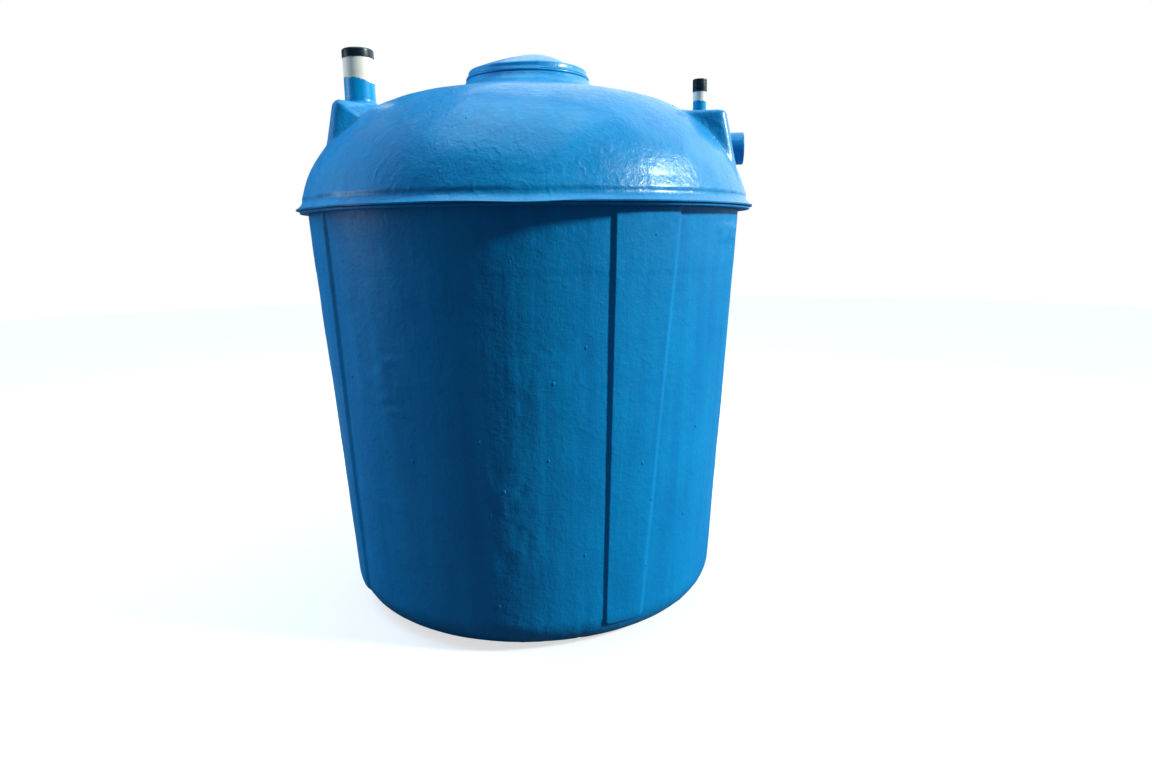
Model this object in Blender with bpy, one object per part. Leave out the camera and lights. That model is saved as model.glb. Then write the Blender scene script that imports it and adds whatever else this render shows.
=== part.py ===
# Bio septic tank of hand-laid fibreglass: a tapered round body with four raised ribs, a dome on a
# flared lip, a sealed manhole, and two boxes on the dome's shoulders that carry the pipes.
# Metres, +Z up. The origin is the middle of the flat underside. The front is towards -Y.
# An azimuth is in degrees round the tank, 0 at the front and growing towards +X.
import bpy
from math import atan2, cos, degrees, pi, radians, sin, sqrt, tan

# Body
SIDES = 64                    # flats round every turned shell
BODY_TOP_RADIUS = 0.751
BODY_FOOT_RADIUS = 0.660      # the wall's line carried down to the floor
RIM_HEIGHT = 1.382            # floor to the lower edge of the dome's lip
KNUCKLE_RADIUS = 0.114        # rounded corner between floor and wall
KNUCKLE_STEPS = 8
WALL = 0.008                  # laminate thickness of wall and dome
BASE_WALL = 0.010
GAP = 0.0003                  # left between solids that touch
WALL_JOINT = 28.125           # azimuth of the first joint between wall quarters, under a rib

# Ribs on the wall
RIB_LEFT = 18.5               # azimuth of the first rib's left edge, straight down
RIB_RIGHT_TOP = 36.2          # its right edge comes in towards the foot
RIB_RIGHT_FOOT = 30.0
RIB_RISE = 0.013
RIB_TURNS = (0.0, 90.0, 180.0, -91.0)
RIB_EDGE = 0.001              # rise left at a rib's edges and at its foot
RIB_LEVELS = (0.35, 0.80)     # rows between foot and head
RIB_STATIONS = (0.3, 0.5, 0.7)

# Flange of the body and lip of the dome
FLANGE_RADIUS = 0.789
FLANGE_THICKNESS = 0.009
LIP_RADIUS = 0.800
LIP_HEIGHT = 0.034
LIP_SEAT_RADIUS = 0.750       # inner edge of the lip's flat seat on the flange
LIP_SEAT_THICKNESS = 0.009
LIP_STEPS = 4
LIP_FLARE = 1.6               # power of the concave flare
LIP_TAPER = 0.002             # the inner face leans in by this at each step down

# Dome: a shoulder arc that runs into a wide crown arc
DOME_FOOT_RADIUS = 0.7774
SHOULDER_RADIUS = 0.447
SHOULDER_START = 13.7         # lean of the dome at its foot, from upright
SHOULDER_END = 76.0           # lean where the crown arc takes over
SHOULDER_STEPS = 8
CROWN_STEPS = 3
JOINT_AZIMUTH = 45.0          # joints between the dome's, lip's and flange's quarters

# Manhole
MANHOLE_RADIUS = 0.202        # clear hole
COLLAR_FOOT_RADIUS = 0.255
COLLAR_TOP_RADIUS = 0.216
COLLAR_TOP = 0.452            # heights from here on are above the rim
COLLAR_HOLLOW = 0.6           # share of its narrowing done at half height
LID_RADIUS = 0.209
LID_SHOULDER_RADIUS = 0.203
LID_SHOULDER = 0.480
LID_TOP = 0.537
LID_MIDDLE_SHARE = 0.56       # share of the crown's rise done halfway in
LID_THICKNESS = 0.010
LID_SIDE_IN = 0.004           # the lid's side leans in by this before its shoulder rounds
LID_SIDE_SHARE = 0.6
ROUND_SIDES = 48

# Boxes on the dome: azimuth, height of the top, reach of the outer wall at the top, half width
INLET = dict(azimuth=-80.0, top=0.342, reach=0.651, half=0.222)
OUTLET = dict(azimuth=80.0, top=0.306, reach=0.695, half=0.202)
BOX_DRAFT = 10.0              # outward lean of the outer wall, in degrees
BOX_SIDE_DRAFT = 6.0
BOX_CORNER = 0.038            # rounding of the upright corners
BOX_TOP_ROUND = 0.020         # rounding of the top's edge
BOX_LEAST_CORNER = 0.004
BOX_CORNER_STEPS = 5
BOX_INNER = 0.42              # the box runs in to here before the dome trims it
BOX_LOW = 0.050               # and down to here
WINDOW_MARGIN = 0.034         # dome left standing inside the box's wall
CORE_BELOW = 0.2              # the trimming core starts this far under the rim

# Pipes
RISER = dict(reach=0.566, radius=0.0505, bore=0.0465, cap_from=0.501, top=0.530)
VENT = dict(reach=0.612, radius=0.0228, bore=0.0203, cap_from=0.392, top=0.433)
CAP_RISE = 0.0012             # thickness of a cap's side
CAP_TOP = 0.004               # thickness of a cap's top
CAP_EDGE = 0.1                # bevel of a cap's edge, as a share of the pipe's radius
RING_RISE = 0.0025            # laminate ring round a pipe's foot
RING_HEIGHT = 0.4             # its height, as a share of the pipe's radius
DRILL_BELOW = 0.05
DRILL_ABOVE = 0.02
STUB_RADIUS = 0.054
STUB_BORE = 0.047
STUB_HEIGHT = 0.200
STUB_FROM = 0.662
STUB_TO = 0.764
DRILL_OVER = 0.05             # the stub's drill passes its ends by this
PIPE_SIDES = 32

FLAT = 360.0 / SIDES
LEAN = atan2(BODY_TOP_RADIUS - BODY_FOOT_RADIUS, RIM_HEIGHT)
KNUCKLE_CENTRE = BODY_FOOT_RADIUS + KNUCKLE_RADIUS * (sin(LEAN) - 1) / cos(LEAN)

COLOURS = {
    "body_paint": ((0.012, 0.170, 0.420), 0.30),
    "dome_paint": ((0.020, 0.230, 0.560), 0.30),
    "bare_pvc": ((0.80, 0.78, 0.72), 0.45),
    "black_cap": ((0.015, 0.016, 0.020), 0.35),
}


def clear_scene():
    for item in list(bpy.data.objects):
        bpy.data.objects.remove(item, do_unlink=True)


def material(name):
    found = bpy.data.materials.get(name)
    if found:
        return found
    colour, roughness = COLOURS[name]
    made = bpy.data.materials.new(name)
    made.use_nodes = True
    made.diffuse_color = (*colour, 1)
    shader = made.node_tree.nodes["Principled BSDF"]
    shader.inputs["Base Color"].default_value = (*colour, 1)
    shader.inputs["Roughness"].default_value = roughness
    shader.inputs["Metallic"].default_value = 0.0
    return made


def add_object(name, points, faces, paint):
    mesh = bpy.data.meshes.new(name)
    mesh.from_pydata(points, [], faces)
    mesh.validate()
    mesh.shade_smooth()
    mesh.set_sharp_from_angle(angle=radians(30))
    made = bpy.data.objects.new(name, mesh)
    made.data.materials.append(material(paint))
    bpy.context.scene.collection.objects.link(made)
    return made


def polar(radius, azimuth, height, sideways=0.0):
    a = radians(azimuth)
    x = radius * sin(a) + sideways * cos(a)
    y = -radius * cos(a) + sideways * sin(a)
    return (x, y, height)


def grid_solid(name, outer, inner, paint):
    # outer and inner are equal grids of points; the columns run round the tank and the rows upwards
    columns = len(outer)
    rows = len(outer[0])
    points = [p for column in outer for p in column] + [p for column in inner for p in column]
    back = columns * rows

    def at(i, j):
        return i * rows + j

    faces = []
    for i in range(columns - 1):
        for j in range(rows - 1):
            quad = (at(i, j), at(i + 1, j), at(i + 1, j + 1), at(i, j + 1))
            faces.append(quad)
            faces.append(tuple(back + v for v in reversed(quad)))
        low = (at(i, 0), at(i + 1, 0))
        high = (at(i + 1, rows - 1), at(i, rows - 1))
        faces.append((low[1], low[0], back + low[0], back + low[1]))
        faces.append((high[1], high[0], back + high[0], back + high[1]))
    for j in range(rows - 1):
        first = (at(0, j), at(0, j + 1))
        last = (at(columns - 1, j + 1), at(columns - 1, j))
        faces.append((first[0], first[1], back + first[1], back + first[0]))
        faces.append((last[0], last[1], back + last[1], back + last[0]))
    return add_object(name, points, faces, paint)


def quarter(name, outer, inner, start, paint):
    # a quarter of a turned shell between two profiles of (radius, height), bottom to top
    steps = SIDES // 4
    outer_grid = []
    inner_grid = []
    for i in range(steps + 1):
        azimuth = start + i * FLAT
        sideways = GAP / 2 if i == 0 else (-GAP / 2 if i == steps else 0.0)
        outer_grid.append([polar(r, azimuth, z, sideways) for r, z in outer])
        inner_grid.append([polar(r, azimuth, z, sideways) for r, z in inner])
    return grid_solid(name, outer_grid, inner_grid, paint)


def quarters(name, outer, inner, start, paint):
    return [quarter(f"{name}_{k + 1}", outer, inner, start + 90 * k, paint) for k in range(4)]


def lathe(name, profile, centre, sides, paint, start=0.0):
    # a closed profile of (radius, height), anticlockwise with the radius to the right, turned whole
    points = []
    rings = []
    for r, z in profile:
        if r == 0:
            rings.append([len(points)] * sides)
            points.append((centre[0], centre[1], z))
            continue
        rings.append(list(range(len(points), len(points) + sides)))
        for i in range(sides):
            x, y, _ = polar(r, start + 360 * i / sides, z)
            points.append((centre[0] + x, centre[1] + y, z))
    faces = []
    for k in range(len(profile)):
        low = rings[k]
        high = rings[(k + 1) % len(profile)]
        for i in range(sides):
            j = (i + 1) % sides
            face = list(dict.fromkeys((low[i], low[j], high[j], high[i])))
            if len(face) > 2:
                faces.append(tuple(face))
    return add_object(name, points, faces, paint)


def cut(target, cutter):
    # exact difference, kept as a live modifier; the cutter stays as a hidden guide
    cutter.hide_render = True
    cutter.display_type = "WIRE"
    step = target.modifiers.new(cutter.name, "BOOLEAN")
    step.operation = "DIFFERENCE"
    step.solver = "EXACT"
    step.object = cutter


def wall_radius(height):
    return BODY_FOOT_RADIUS + tan(LEAN) * height


def knuckle_point(turn, thickness=0.0):
    r = KNUCKLE_RADIUS - thickness
    return (KNUCKLE_CENTRE + r * cos(turn), KNUCKLE_RADIUS + r * sin(turn))


def knuckle_turns():
    return [-pi / 2 + (pi / 2 - LEAN) * k / KNUCKLE_STEPS for k in range(KNUCKLE_STEPS + 1)]


def build_base():
    floor = KNUCKLE_CENTRE - GAP
    lathe("base_plate", [(0, 0), (floor, 0), (floor, BASE_WALL), (0, BASE_WALL)],
          (0, 0), SIDES, "body_paint", WALL_JOINT)
    outer = [knuckle_point(t) for t in knuckle_turns()]
    inner = [knuckle_point(t, BASE_WALL) for t in knuckle_turns()]
    quarters("base_knuckle", outer, inner, WALL_JOINT, "body_paint")


def build_wall():
    foot = knuckle_point(-LEAN)[1] + GAP
    head = RIM_HEIGHT - FLANGE_THICKNESS - 2 * GAP
    thick = WALL / cos(LEAN)
    outer = [(wall_radius(foot), foot), (wall_radius(head), head)]
    inner_foot = (wall_radius(foot) - WALL * cos(LEAN), foot + WALL * sin(LEAN))
    inner = [inner_foot, (wall_radius(head) - thick, head)]
    quarters("wall_panel", outer, inner, WALL_JOINT, "body_paint")


def rib_azimuths(share, radius):
    # the seven columns of a rib from its left edge to its right one, at a share of its height
    right = RIB_RIGHT_FOOT + (RIB_RIGHT_TOP - RIB_RIGHT_FOOT) * share
    slope = degrees(RIB_RISE / radius)
    azimuths = [RIB_LEFT - slope / 2, RIB_LEFT + slope / 2]
    azimuths += [RIB_LEFT + (right - RIB_LEFT) * station for station in RIB_STATIONS]
    return azimuths + [right - slope / 2, right + slope / 2]


def build_rib(number, turn):
    head = RIM_HEIGHT - FLANGE_THICKNESS - 2 * GAP
    rows = [knuckle_point(knuckle_turns()[-2]), knuckle_point(-LEAN)]
    rows += [(wall_radius(z), z) for z in (*RIB_LEVELS, head)]
    foot = rows[0][1]
    clear = GAP + BODY_TOP_RADIUS * (1 - cos(radians(FLAT / 2)))
    columns = len(RIB_STATIONS) + 4
    outer = [[] for _ in range(columns)]
    inner = [[] for _ in range(columns)]
    for j, (r, z) in enumerate(rows):
        azimuths = rib_azimuths((z - foot) / (head - foot), r)
        for k, azimuth in enumerate(azimuths):
            at_edge = k in (0, columns - 1) or j == 0
            rise = RIB_EDGE if at_edge else RIB_RISE
            outer[k].append(polar(r + clear + rise, azimuth + turn, z))
            inner[k].append(polar(r + clear, azimuth + turn, z))
    grid_solid(f"wall_rib_{number}", outer, inner, "body_paint")


def build_flange():
    low = RIM_HEIGHT - FLANGE_THICKNESS - GAP
    high = RIM_HEIGHT - GAP
    inside = wall_radius(low) - WALL
    quarters("body_flange", [(FLANGE_RADIUS, low), (FLANGE_RADIUS, high)],
             [(inside, low), (inside, high)], JOINT_AZIMUTH, "body_paint")


def build_lip():
    # a concave flare from the dome's foot out to the sharp lower edge, on a flat seat
    outer = []
    for k in range(LIP_STEPS + 1):
        share = k / LIP_STEPS
        reach = (LIP_RADIUS - DOME_FOOT_RADIUS) * (1 - share) ** LIP_FLARE
        outer.append((DOME_FOOT_RADIUS + reach, RIM_HEIGHT + LIP_HEIGHT * share))
    thick = WALL / cos(radians(SHOULDER_START))
    inner = [(LIP_SEAT_RADIUS, RIM_HEIGHT), (LIP_SEAT_RADIUS, RIM_HEIGHT + LIP_SEAT_THICKNESS)]
    for k in range(2, LIP_STEPS + 1):
        inner.append((DOME_FOOT_RADIUS - thick - LIP_TAPER * (LIP_STEPS - k), outer[k][1]))
    quarters("rim_lip", outer, inner, JOINT_AZIMUTH, "dome_paint")


def crown_radius():
    start = cos(radians(SHOULDER_START))
    end = cos(radians(SHOULDER_END))
    return (DOME_FOOT_RADIUS + SHOULDER_RADIUS * (end - start)) / end


def dome_profile(grow=0.0):
    # points of (radius, height above the rim) from the foot up to the manhole, grown outwards
    start = radians(SHOULDER_START)
    end = radians(SHOULDER_END)
    centre_r = DOME_FOOT_RADIUS - SHOULDER_RADIUS * cos(start)
    centre_z = LIP_HEIGHT - SHOULDER_RADIUS * sin(start)
    big = crown_radius()
    big_z = centre_z + (SHOULDER_RADIUS - big) * sin(end)
    points = []
    for k in range(SHOULDER_STEPS + 1):
        turn = start + (end - start) * k / SHOULDER_STEPS
        size = SHOULDER_RADIUS + grow
        points.append((centre_r + size * cos(turn), centre_z + size * sin(turn)))
    joint = points[-1][0]
    reaches = [joint + (COLLAR_FOOT_RADIUS - joint) * k / CROWN_STEPS for k in range(1, CROWN_STEPS + 1)]
    for reach in (*reaches, MANHOLE_RADIUS):
        points.append((reach, big_z + sqrt((big + grow) ** 2 - reach ** 2)))
    return points


def dome_height(radius):
    # height above the rim of the dome's outer surface at a distance from the axis
    points = dome_profile()
    for (r0, z0), (r1, z1) in zip(points, points[1:]):
        if r1 <= radius <= r0:
            return z0 + (z1 - z0) * (radius - r0) / (r1 - r0)
    return points[-1][1]


def raised(points):
    return [(r, z + RIM_HEIGHT) for r, z in points]


def build_dome():
    outer = raised(dome_profile())
    inner = raised(dome_profile(-WALL))
    outer[0] = (outer[0][0], outer[0][1] + GAP)
    inner[0] = (inner[0][0], outer[0][1])
    shells = quarters("dome_shell", outer, inner, JOINT_AZIMUTH, "dome_paint")
    return {"right": shells[0], "left": shells[2]}


def build_manhole():
    foot = RIM_HEIGHT + dome_height(COLLAR_FOOT_RADIUS) + 2 * GAP
    bore_foot = RIM_HEIGHT + dome_height(MANHOLE_RADIUS) + 2 * GAP
    top = RIM_HEIGHT + COLLAR_TOP
    waist = COLLAR_FOOT_RADIUS - COLLAR_HOLLOW * (COLLAR_FOOT_RADIUS - COLLAR_TOP_RADIUS)
    halfway = (foot + top) / 2
    outer = [(COLLAR_FOOT_RADIUS, foot), (waist, halfway), (COLLAR_TOP_RADIUS, top)]
    inner = [(MANHOLE_RADIUS, bore_foot), (MANHOLE_RADIUS, halfway), (MANHOLE_RADIUS, top)]
    quarters("manhole_collar", outer, inner, JOINT_AZIMUTH, "dome_paint")
    seat = top + GAP
    shoulder = RIM_HEIGHT + LID_SHOULDER
    crown = RIM_HEIGHT + LID_TOP
    middle = (LID_SHOULDER_RADIUS / 2, shoulder + LID_MIDDLE_SHARE * (crown - shoulder))
    lid = [(0, crown - LID_THICKNESS), (middle[0], middle[1] - LID_THICKNESS),
           (LID_SHOULDER_RADIUS - LID_THICKNESS, shoulder - LID_THICKNESS),
           (LID_RADIUS - LID_THICKNESS, seat), (LID_RADIUS, seat),
           (LID_RADIUS - LID_SIDE_IN, seat + LID_SIDE_SHARE * (shoulder - seat)),
           (LID_SHOULDER_RADIUS, shoulder), middle, (0, crown)]
    lathe("manhole_lid", lid, (0, 0), ROUND_SIDES, "dome_paint")


def box_section(box, height, inset):
    # rounded outline of the box at a height above the rim, anticlockwise from above
    drop = box["top"] - height
    reach = box["reach"] + drop * tan(radians(BOX_DRAFT)) - inset
    half = box["half"] + drop * tan(radians(BOX_SIDE_DRAFT)) - inset
    corner = max(BOX_CORNER - inset, BOX_LEAST_CORNER)
    outline = [(BOX_INNER, -half)]
    for first, side in ((-90, -1), (0, 1)):
        for k in range(BOX_CORNER_STEPS + 1):
            turn = radians(first + 90 * k / BOX_CORNER_STEPS)
            along = reach - corner + corner * cos(turn)
            outline.append((along, side * (half - corner) + corner * sin(turn)))
    outline.append((BOX_INNER, half))
    return [polar(u, box["azimuth"], RIM_HEIGHT + height, v) for u, v in outline]


def box_solid(name, box, inset, rounding):
    top = box["top"] - inset
    levels = [(BOX_LOW - inset, inset)]
    for turn in ((0, 30, 60, 90) if rounding else (90,)):
        a = radians(turn)
        levels.append((top - rounding * (1 - sin(a)), inset + rounding * (1 - cos(a))))
    rings = [box_section(box, height, shrink) for height, shrink in levels]
    count = len(rings[0])
    points = [p for ring in rings for p in ring]
    faces = [tuple(reversed(range(count))), tuple(range(len(points) - count, len(points)))]
    for k in range(len(rings) - 1):
        for i in range(count):
            j = (i + 1) % count
            faces.append((k * count + i, k * count + j, (k + 1) * count + j, (k + 1) * count + i))
    return add_object(name, points, faces, "dome_paint")


def build_box(name, box, shell):
    body = box_solid(name, box, 0.0, BOX_TOP_ROUND)
    cavity = box_solid(name + "_cavity", box, WALL, BOX_TOP_ROUND - WALL)
    window = box_solid(name + "_window", box, WINDOW_MARGIN, 0.0)
    skin = raised(dome_profile(2 * GAP))
    low = RIM_HEIGHT - CORE_BELOW
    profile = [(0, low), (skin[0][0], low), *skin, (0, skin[-1][1])]
    core = lathe(name + "_core", profile, (0, 0), SIDES, "dome_paint", JOINT_AZIMUTH)
    cut(body, cavity)
    cut(body, core)
    cut(shell, window)
    return body


def build_upright(name, box, pipe, holder):
    # a pipe that stands on its box, with a ring of laminate round its foot and a cap
    x, y, _ = polar(pipe["reach"], box["azimuth"], 0)
    foot = RIM_HEIGHT + box["top"] + GAP
    rim = RIM_HEIGHT + pipe["cap_from"] - GAP
    end = RIM_HEIGHT + pipe["top"] - CAP_TOP
    radius = pipe["radius"]
    bore = pipe["bore"]
    tube = [(bore, foot), (radius, foot), (radius, end), (bore, end)]
    lathe(f"{name}_pipe", tube, (x, y), PIPE_SIDES, "bare_pvc")
    inside = radius + 2 * GAP
    ring_top = foot + RING_HEIGHT * radius
    ring = [(inside, foot), (radius + RING_RISE, foot), (radius + RING_RISE, (foot + ring_top) / 2),
            (radius + RING_RISE / 2, ring_top), (inside, ring_top)]
    lathe(f"{name}_base_ring", ring, (x, y), PIPE_SIDES, "dome_paint")
    outside = radius + 2 * GAP + CAP_RISE
    top = RIM_HEIGHT + pipe["top"]
    lid = end + GAP
    edge = CAP_EDGE * radius
    cap = [(inside, rim), (outside, rim), (outside, top - edge), (outside - edge, top), (0, top),
           (0, lid), (inside, lid)]
    lathe(f"{name}_cap", cap, (x, y), PIPE_SIDES, "black_cap")
    low = foot - DRILL_BELOW
    high = foot + DRILL_ABOVE
    drill = [(0, low), (bore, low), (bore, high), (0, high)]
    cut(holder, lathe(f"{name}_drill", drill, (x, y), PIPE_SIDES, "bare_pvc"))


def level_tube(name, box, span, radius, bore):
    # a tube, or a plain rod when the bore is nothing, that lies level along the box's own direction
    start, end = span
    sections = [(radius, start), (radius, end)]
    if bore:
        sections += [(bore, end), (bore, start)]
    height = RIM_HEIGHT + STUB_HEIGHT
    points = []
    for size, along in sections:
        for i in range(PIPE_SIDES):
            turn = 2 * pi * i / PIPE_SIDES
            points.append(polar(along, box["azimuth"], height + size * sin(turn), size * cos(turn)))
    faces = []
    rings = len(sections)
    for k in range(rings if bore else rings - 1):
        near = k * PIPE_SIDES
        far = (k + 1) % rings * PIPE_SIDES
        for i in range(PIPE_SIDES):
            j = (i + 1) % PIPE_SIDES
            faces.append((near + i, near + j, far + j, far + i))
    if not bore:
        faces.append(tuple(reversed(range(PIPE_SIDES))))
        faces.append(tuple(range(PIPE_SIDES, 2 * PIPE_SIDES)))
    return add_object(name, points, faces, "dome_paint")


def build_stub(box, holders):
    level_tube("outlet_stub", box, (STUB_FROM, STUB_TO), STUB_RADIUS, STUB_BORE)
    span = (STUB_FROM - DRILL_OVER, STUB_TO + DRILL_OVER)
    drill = level_tube("stub_drill", box, span, STUB_RADIUS + 2 * GAP, 0)
    for holder in holders:
        cut(holder, drill)


def main():
    clear_scene()
    build_base()
    build_wall()
    for number, turn in enumerate(RIB_TURNS, 1):
        build_rib(number, turn)
    build_flange()
    build_lip()
    shells = build_dome()
    build_manhole()
    inlet_box = build_box("inlet_box", INLET, shells["left"])
    outlet_box = build_box("outlet_box", OUTLET, shells["right"])
    build_upright("riser", INLET, RISER, inlet_box)
    build_upright("vent", OUTLET, VENT, outlet_box)
    build_stub(OUTLET, (outlet_box, shells["right"]))


main()
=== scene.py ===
from math import atan2, cos, exp, pi, radians, sin, sqrt, tan

import bpy
import numpy as np
from mathutils import Matrix, Vector, noise


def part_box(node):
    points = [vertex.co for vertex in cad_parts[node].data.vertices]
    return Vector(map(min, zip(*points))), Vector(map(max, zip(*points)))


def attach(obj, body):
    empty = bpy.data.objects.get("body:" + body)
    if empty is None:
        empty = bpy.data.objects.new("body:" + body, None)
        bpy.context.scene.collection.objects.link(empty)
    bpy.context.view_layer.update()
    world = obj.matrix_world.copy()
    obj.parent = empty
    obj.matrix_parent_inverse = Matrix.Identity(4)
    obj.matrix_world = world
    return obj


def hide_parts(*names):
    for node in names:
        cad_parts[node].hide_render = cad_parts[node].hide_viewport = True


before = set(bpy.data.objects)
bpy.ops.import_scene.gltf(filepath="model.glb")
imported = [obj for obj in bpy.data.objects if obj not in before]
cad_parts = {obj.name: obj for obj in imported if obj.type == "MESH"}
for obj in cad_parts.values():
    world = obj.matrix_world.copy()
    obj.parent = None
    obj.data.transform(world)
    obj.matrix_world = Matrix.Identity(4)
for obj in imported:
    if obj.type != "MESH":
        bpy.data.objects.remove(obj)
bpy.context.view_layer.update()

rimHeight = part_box("rim_lip_1")[0].z
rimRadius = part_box("rim_lip_1")[1].x
fourQuarters = (1, 2, 3, 4)


def numbered(name):
    return [f"{name}_{k}" for k in fourQuarters]


# Camera: fitted to the outline, the rim and the pipes in the photograph

cameraView = {
    "eye": (0.0, -2.88, 1.288),
    "lens": 24.06,
    "yaw": -3.31,
    "pitch": 10.83,
    "roll": -0.77,
}


def makeCamera():
    yaw = radians(cameraView["yaw"])
    pitch = radians(cameraView["pitch"])
    roll = radians(cameraView["roll"])
    ahead = Vector((-sin(yaw) * cos(pitch), cos(yaw) * cos(pitch), -sin(pitch)))
    level = Vector((cos(yaw), sin(yaw), 0))
    above = level.cross(ahead)
    right = cos(roll) * level + sin(roll) * above
    up = -sin(roll) * level + cos(roll) * above
    camera = bpy.data.objects.new("photoCamera", bpy.data.cameras.new("photoCamera"))
    camera.data.lens = cameraView["lens"]
    camera.data.sensor_width = 36
    camera.matrix_world = Matrix.Translation(cameraView["eye"]) @ Matrix((right, up, -ahead)).transposed().to_4x4()
    bpy.context.scene.collection.objects.link(camera)
    bpy.context.scene.camera = camera


# Studio: pale floor, a low soft key from the right and cool light from behind and above

studio = {
    "floorRadius": 14.0,
    "floorColour": (0.38, 0.38, 0.385),
    "floorGlow": (0.66, 0.66, 0.665),
    "floorBounce": (0.10, 0.105, 0.115),
    "skyColour": (0.28, 0.66, 1.0),
    "backdrop": (1.0, 1.0, 1.0),
    "skyStrength": 0.17,
    "keyFrom": (0.857, -0.214, 0.470),
    "keyAngle": 8.0,
    "keyStrength": 5.2,
    "keyColour": (0.88, 1.0, 0.92),
}
softboxes = {
    "backLeftBox": dict(direction=(-0.75, 0.25, 0.60), away=4.5, size=3.5, power=230, colour=(0.62, 0.84, 1.0),
                        mirrored=False),
    "backRightBox": dict(direction=(0.45, 0.65, 0.60), away=4.5, size=5.5, power=120, colour=(0.85, 0.95, 1.0)),
    "topBox": dict(direction=(-0.05, -0.12, 1.0), away=4.5, size=3.5, power=95, colour=(0.55, 0.88, 1.0)),
    "rightBox": dict(direction=(1.0, 0.05, 0.35), away=4.5, size=4.0, power=40, colour=(0.60, 0.90, 1.0)),
    "leftBox": dict(direction=(-1.0, -0.05, 0.20), away=4.5, size=2.0, power=30, colour=(0.80, 0.90, 1.0)),
}


def addSoftbox(name, direction, away, size, power, colour, mirrored=True):
    lamp = bpy.data.lights.new(name, "AREA")
    lamp.shape = "SQUARE"
    lamp.size = size
    lamp.energy = power
    lamp.color = colour
    box = bpy.data.objects.new(name, lamp)
    middle = Vector((0, 0, 0.95))
    place = middle + Vector(direction).normalized() * away
    box.matrix_world = Matrix.Translation(place) @ (place - middle).to_track_quat("Z", "Y").to_matrix().to_4x4()
    box.visible_glossy = mirrored
    bpy.context.scene.collection.objects.link(box)


def addKey():
    lamp = bpy.data.lights.new("keyLight", "SUN")
    lamp.angle = radians(studio["keyAngle"])
    lamp.energy = studio["keyStrength"]
    lamp.color = studio["keyColour"]
    key = bpy.data.objects.new("keyLight", lamp)
    key.matrix_world = Vector(studio["keyFrom"]).to_track_quat("Z", "Y").to_matrix().to_4x4()
    bpy.context.scene.collection.objects.link(key)


def seenByCamera(tree, bounced, seen):
    # mixes two shaders: one that throws little light back on the tank, and the pale one that the camera sees
    mix = tree.nodes.new("ShaderNodeMixShader")
    tree.links.new(tree.nodes.new("ShaderNodeLightPath").outputs["Is Camera Ray"], mix.inputs[0])
    tree.links.new(bounced, mix.inputs[1])
    tree.links.new(seen, mix.inputs[2])
    return mix.outputs[0]


def plainShader(tree, kind, colour):
    shader = tree.nodes.new(kind)
    shader.inputs["Color"].default_value = (*colour, 1)
    return shader.outputs[0]


def paintFloor(tree):
    tree.nodes.clear()
    lit = tree.nodes.new("ShaderNodeAddShader")
    tree.links.new(plainShader(tree, "ShaderNodeBsdfDiffuse", studio["floorColour"]), lit.inputs[0])
    tree.links.new(plainShader(tree, "ShaderNodeEmission", studio["floorGlow"]), lit.inputs[1])
    bounced = plainShader(tree, "ShaderNodeBsdfDiffuse", studio["floorBounce"])
    output = tree.nodes.new("ShaderNodeOutputMaterial")
    tree.links.new(seenByCamera(tree, bounced, lit.outputs[0]), output.inputs["Surface"])


def paintSky(tree):
    tree.nodes.clear()
    sky = tuple(part * studio["skyStrength"] for part in studio["skyColour"])
    bounced = plainShader(tree, "ShaderNodeBackground", sky)
    seen = plainShader(tree, "ShaderNodeBackground", studio["backdrop"])
    output = tree.nodes.new("ShaderNodeOutputWorld")
    tree.links.new(seenByCamera(tree, bounced, seen), output.inputs["Surface"])


def makeStudio():
    radius = studio["floorRadius"]
    ring = [(radius * cos(2 * pi * k / 96), radius * sin(2 * pi * k / 96), -0.0004) for k in range(96)]
    mesh = bpy.data.meshes.new("studioFloor")
    mesh.from_pydata(ring, [], [tuple(range(96))])
    floor = bpy.data.objects.new("studioFloor", mesh)
    bpy.context.scene.collection.objects.link(floor)
    paint = bpy.data.materials.new("studioFloor")
    paint.use_nodes = True
    paintFloor(paint.node_tree)
    mesh.materials.append(paint)
    world = bpy.data.worlds.new("studioSky")
    world.use_nodes = True
    paintSky(world.node_tree)
    bpy.context.scene.world = world
    bpy.context.scene.view_settings.view_transform = "Standard"
    addKey()
    for name, settings in softboxes.items():
        addSoftbox(name, **settings)


# Node helpers shared by the shape trees and the materials

def plug(tree, value, socket):
    if isinstance(value, bpy.types.NodeSocket):
        tree.links.new(value, socket)
    else:
        socket.default_value = value


def calc(tree, operation, *values):
    node = tree.nodes.new("ShaderNodeMath")
    node.operation = operation
    for value, socket in zip(values, node.inputs):
        plug(tree, value, socket)
    return node.outputs[0]


def vectorCalc(tree, operation, *values):
    node = tree.nodes.new("ShaderNodeVectorMath")
    node.operation = operation
    sockets = [node.inputs["Scale"]] if operation == "SCALE" else []
    targets = [node.inputs[0]] + sockets if sockets else node.inputs
    for value, socket in zip(values, targets):
        plug(tree, value, socket)
    return node.outputs[0]


def ramp(tree, value, low, high, toLow=0.0, toHigh=1.0, smooth=True):
    node = tree.nodes.new("ShaderNodeMapRange")
    node.interpolation_type = "SMOOTHSTEP" if smooth else "LINEAR"
    for name, item in (("Value", value), ("From Min", low), ("From Max", high), ("To Min", toLow), ("To Max", toHigh)):
        plug(tree, item, node.inputs[name])
    return node.outputs["Result"]


def noiseValue(tree, place, scale, detail=3.0, roughness=0.5, seed=0.0):
    node = tree.nodes.new("ShaderNodeTexNoise")
    node.noise_dimensions = "4D"
    plug(tree, place, node.inputs["Vector"])
    plug(tree, seed, node.inputs["W"])
    plug(tree, scale, node.inputs["Scale"])
    plug(tree, detail, node.inputs["Detail"])
    plug(tree, roughness, node.inputs["Roughness"])
    return node.outputs[0]


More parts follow.
